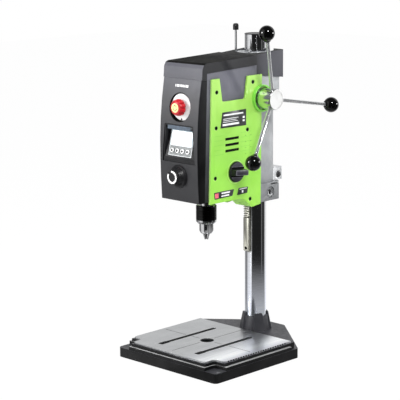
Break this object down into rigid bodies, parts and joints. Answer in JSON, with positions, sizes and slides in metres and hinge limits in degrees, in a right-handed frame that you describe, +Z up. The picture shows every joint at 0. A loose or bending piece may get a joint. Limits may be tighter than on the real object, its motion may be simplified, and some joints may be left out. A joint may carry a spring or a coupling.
{
  "type": "benchtop drill press",
  "caption": "Benchtop drill press with a black cast base, slotted steel table, round column, rack-fed green and grey head, three-lever handle and keyed chuck",
  "frame": {"origin": "foot of the column's axis, on the bench", "axes": "+Z up along the column, +Y to the rear, +X to the right side seen from the front"},
  "size_m": [0.283, 0.3897, 0.6942],
  "materials": {
    "black_iron": "painted black casting",
    "brushed_steel": "brushed plate",
    "chrome": "polished plating",
    "dark_steel": "oiled machined steel",
    "cast_aluminium": "sand-cast, satin",
    "grey_plastic": "satin moulding",
    "dark_plastic": "satin moulding",
    "frame_grey": "satin moulding",
    "green_plastic": "gloss moulding",
    "gloss_black": "polished phenolic",
    "red_plastic": "satin moulding",
    "white_plastic": "satin moulding",
    "screen_glass": "clear window over a pale display",
    "bronze": "machined bearing bronze",
    "circuit_board": "lacquered laminate"
  },
  "bodies": {
    "base": {"base_casting": "black_iron", "work_table": "brushed_steel", "table_screw_1": "dark_steel", "table_screw_2": "dark_steel", "column_tube": "chrome", "column_cap": "dark_plastic", "rack": "dark_steel", "rack_screw_1": "dark_steel", "rack_screw_2": "dark_steel"},
    "spindle": {"spindle_shaft": "dark_steel", "spindle_gear": "dark_steel", "chuck_body": "dark_steel"},
    "sleeve": {"chuck_sleeve": "dark_steel"},
    "jaw_1": {"chuck_jaw_1": "dark_steel"},
    "jaw_2": {"chuck_jaw_2": "dark_steel"},
    "jaw_3": {"chuck_jaw_3": "dark_steel"},
    "rotor": {"motor_rotor": "dark_steel"},
    "handle": {"pinion_shaft": "dark_steel", "lever_hub": "chrome", "lever_1": "chrome", "lever_2": "chrome", "lever_3": "chrome", "lever_ball_1": "gloss_black", "lever_ball_2": "gloss_black", "lever_ball_3": "gloss_black"},
    "stop_knob": {"stop_button": "red_plastic"},
    "speed": {"speed_knob": "dark_plastic"},
    "selector": {"selector_knob": "dark_plastic"},
    "button_1": {"display_button_1": "white_plastic"},
    "button_2": {"display_button_2": "white_plastic"},
    "button_3": {"display_button_3": "white_plastic"},
    "button_4": {"display_button_4": "white_plastic"},
    "rod": {"stop_rod": "chrome", "stop_rod_tip": "dark_plastic"},
    "head": {"circuit_board": "circuit_board", "clamp_screw": "dark_steel", "display_housing": "dark_plastic", "display_screen": "screen_glass", "front_cover": "grey_plastic", "gearcase_lid": "cast_aluminium", "head_casting": "cast_aluminium", "left_side_frame": "frame_grey", "left_side_plate": "green_plastic", "lock_screw": "dark_steel", "lower_spindle_bearing": "dark_steel", "motor_housing": "dark_steel", "pinion_bush": "bronze", "plate_screw_1": "dark_steel", "plate_screw_2": "dark_steel", "plate_screw_3": "dark_steel", "plate_screw_4": "dark_steel", "plate_screw_5": "dark_steel", "plate_screw_6": "dark_steel", "return_spring": "dark_steel", "right_side_frame": "frame_grey", "right_side_plate": "green_plastic", "spring_housing": "dark_plastic", "stop_switch": "white_plastic", "top_cover": "dark_plastic", "upper_spindle_bearing": "dark_steel"}
  },
  "joints": [
    {"name": "head_slide", "type": "slide", "parent": "base", "child": "head", "axis": [0, 0, 1], "range_m": [-0.2, 0], "stiffness_N_per_m": 100, "springref_m": 1.15},
    {"name": "feed_turn", "type": "hinge", "parent": "head", "child": "handle", "pos_m": [0, -0.04492, 0.5393], "axis": [1, 0, 0], "range_deg": [0, 730]},
    {"name": "spindle_turn", "type": "hinge", "parent": "head", "child": "spindle", "pos_m": [0, -0.1497, 0.33], "axis": [0, 0, 1], "continuous": true},
    {"name": "motor_turn", "type": "hinge", "parent": "head", "child": "rotor", "pos_m": [0, -0.1113, 0.46], "axis": [0, 0, 1], "continuous": true},
    {"name": "sleeve_turn", "type": "hinge", "parent": "spindle", "child": "sleeve", "pos_m": [0, -0.1497, 0.3], "axis": [0, 0, 1], "range_deg": [0, 1440]},
    {"name": "jaw_slide_1", "type": "slide", "parent": "spindle", "child": "jaw_1", "axis": [0.2215, 0.0391, 0.9744], "range_m": [0, 0.022]},
    {"name": "jaw_slide_2", "type": "slide", "parent": "spindle", "child": "jaw_2", "axis": [-0.1446, 0.1723, 0.9744], "range_m": [0, 0.022]},
    {"name": "jaw_slide_3", "type": "slide", "parent": "spindle", "child": "jaw_3", "axis": [-0.0769, -0.2114, 0.9744], "range_m": [0, 0.022]},
    {"name": "stop_press", "type": "slide", "parent": "head", "child": "stop_knob", "axis": [0, 1, 0], "range_m": [0, 0.004], "stiffness_N_per_m": 1200, "springref_m": -0.002},
    {"name": "speed_turn", "type": "hinge", "parent": "head", "child": "speed", "pos_m": [0, -0.2285, 0.3945], "axis": [0, -1, 0], "range_deg": [0, 270]},
    {"name": "selector_turn", "type": "hinge", "parent": "head", "child": "selector", "pos_m": [0.057, -0.1228, 0.3964], "axis": [1, 0, 0], "range_deg": [-90, 90]},
    {"name": "rod_slide", "type": "slide", "parent": "head", "child": "rod", "axis": [0, 0, 1], "range_m": [0, 0.03]},
    {"name": "button_press_1", "type": "slide", "parent": "head", "child": "button_1", "axis": [0, 0.9767, -0.2145], "range_m": [0, 0.001], "stiffness_N_per_m": 800, "springref_m": -0.0005},
    {"name": "button_press_2", "type": "slide", "parent": "head", "child": "button_2", "axis": [0, 0.9767, -0.2145], "range_m": [0, 0.001], "stiffness_N_per_m": 800, "springref_m": -0.0005},
    {"name": "button_press_3", "type": "slide", "parent": "head", "child": "button_3", "axis": [0, 0.9767, -0.2145], "range_m": [0, 0.001], "stiffness_N_per_m": 800, "springref_m": -0.0005},
    {"name": "button_press_4", "type": "slide", "parent": "head", "child": "button_4", "axis": [0, 0.9767, -0.2145], "range_m": [0, 0.001], "stiffness_N_per_m": 800, "springref_m": -0.0005}
  ],
  "couplings": [
    {"joint": "feed_turn", "follows": "head_slide", "rad_per_m": -62.832},
    {"joint": "motor_turn", "follows": "spindle_turn", "ratio": -5},
    {"joint": "sleeve_turn", "follows": "jaw_slide_1", "rad_per_m": 1142},
    {"joint": "jaw_slide_2", "follows": "jaw_slide_1", "ratio": 1},
    {"joint": "jaw_slide_3", "follows": "jaw_slide_1", "ratio": 1}
  ]
}
